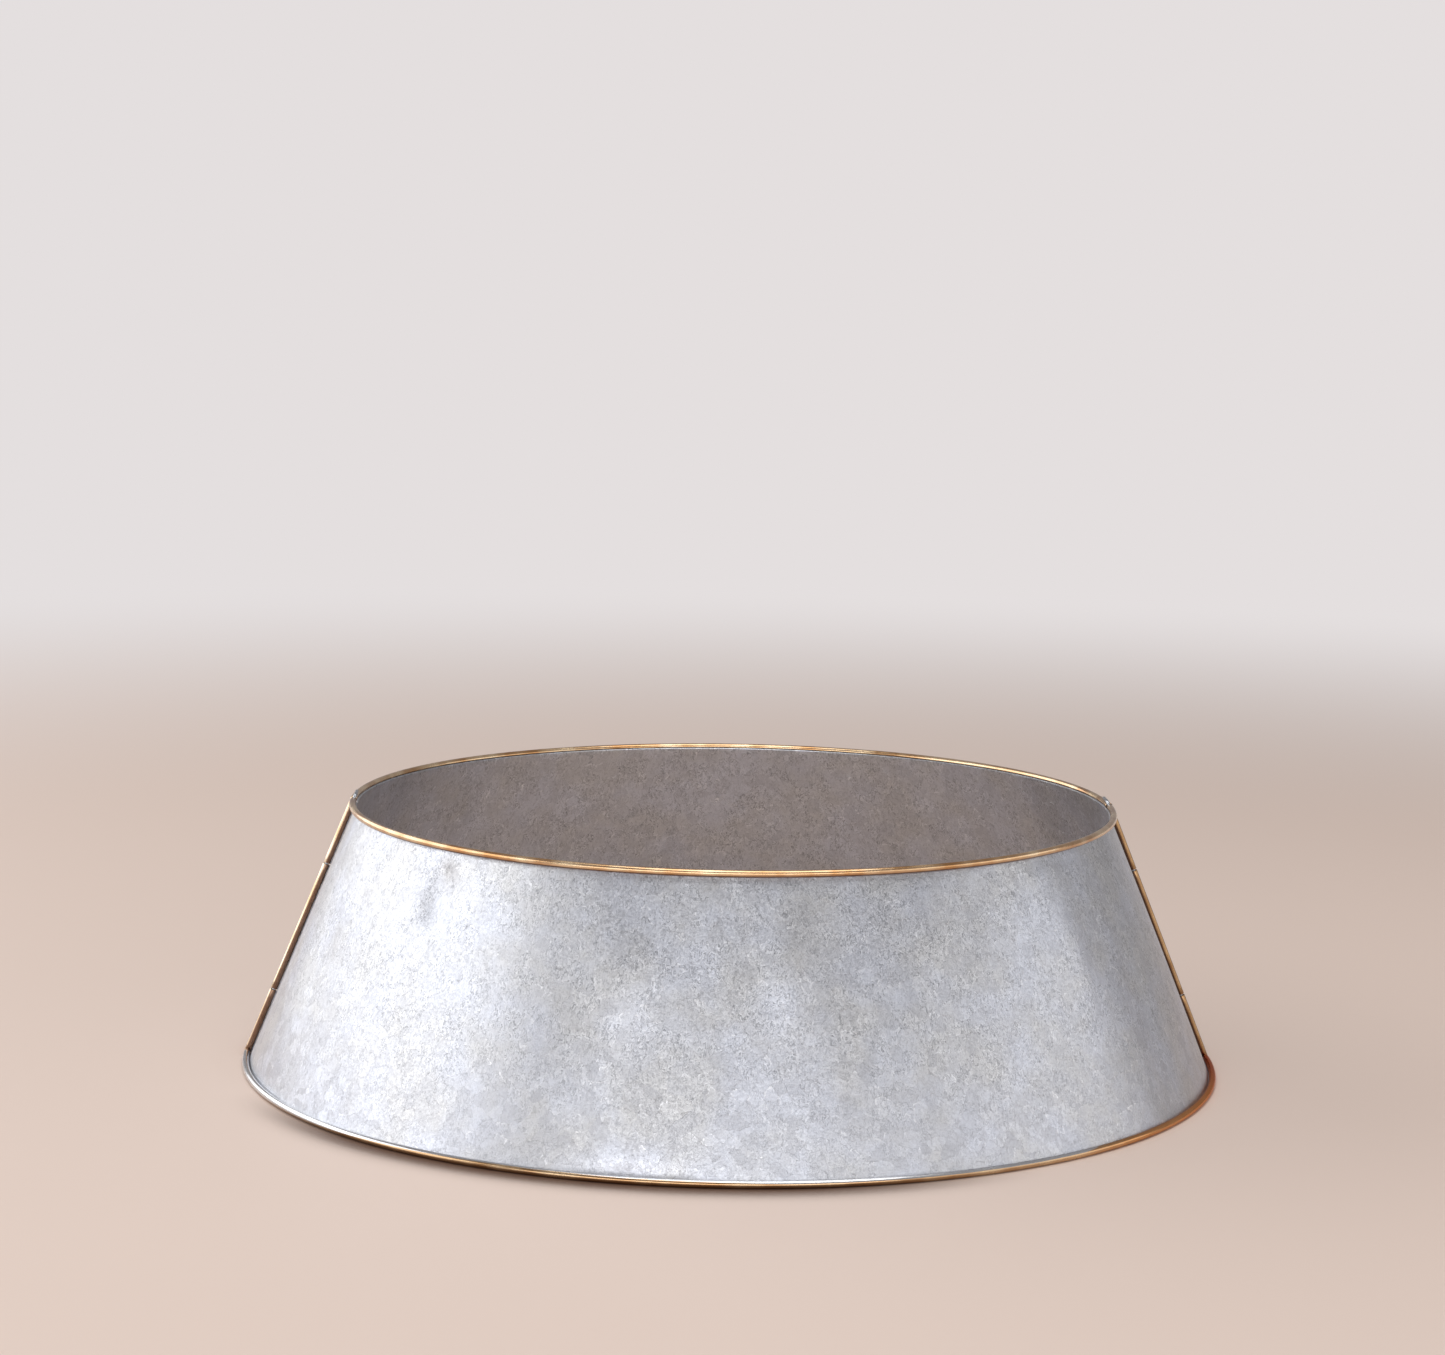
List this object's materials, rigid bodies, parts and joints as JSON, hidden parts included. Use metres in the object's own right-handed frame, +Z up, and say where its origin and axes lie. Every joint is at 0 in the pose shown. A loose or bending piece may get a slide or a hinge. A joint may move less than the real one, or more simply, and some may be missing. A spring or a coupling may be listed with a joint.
{
  "type": "christmas tree collar",
  "caption": "Conical galvanised steel collar with round gold edge trims that stands on the floor round a tree's stand and opens at its side seams.",
  "frame": {"origin": "centre of the collar's base circle, on the floor it stands on", "axes": "+Z up along the collar's axis, the front half towards -Y, the two seams at -X and +X"},
  "size_m": [0.7006, 0.7, 0.1914],
  "materials": {
    "galvanised_sheet": "hot-dip galvanised steel sheet with a fine mottled zinc spangle, half gloss",
    "gold_trim": "slit steel tube under a coppery gold lacquer, glossy, rubbed silvery in places",
    "zinced_rod": "bright zinc plated steel wire"
  },
  "bodies": {
    "front": {"front_panel": "galvanised_sheet", "front_top_trim": "gold_trim", "front_bottom_trim": "gold_trim", "front_left_middle_knuckle": "gold_trim", "front_right_upper_knuckle": "gold_trim", "front_right_lower_knuckle": "gold_trim"},
    "back": {"back_panel": "galvanised_sheet", "back_top_trim": "gold_trim", "back_bottom_trim": "gold_trim", "back_right_middle_knuckle": "gold_trim", "back_left_upper_knuckle": "gold_trim", "back_left_lower_knuckle": "gold_trim"},
    "left_rod": {"left_rod": "zinced_rod"},
    "right_rod": {"right_rod": "zinced_rod"}
  },
  "joints": [
    {"name": "left_seam_hinge", "type": "hinge", "parent": "front", "child": "back", "pos_m": [-0.34749, 0, 0.00251], "axis": [0.3797, 0, 0.9251], "range_deg": [0, 100]},
    {"name": "right_rod_pull", "type": "slide", "parent": "front", "child": "right_rod", "axis": [-0.3797, 0, 0.9251], "range_m": [0, 0.202]},
    {"name": "left_rod_pull", "type": "slide", "parent": "front", "child": "left_rod", "axis": [0.3797, 0, 0.9251], "range_m": [0, 0.202]}
  ]
}
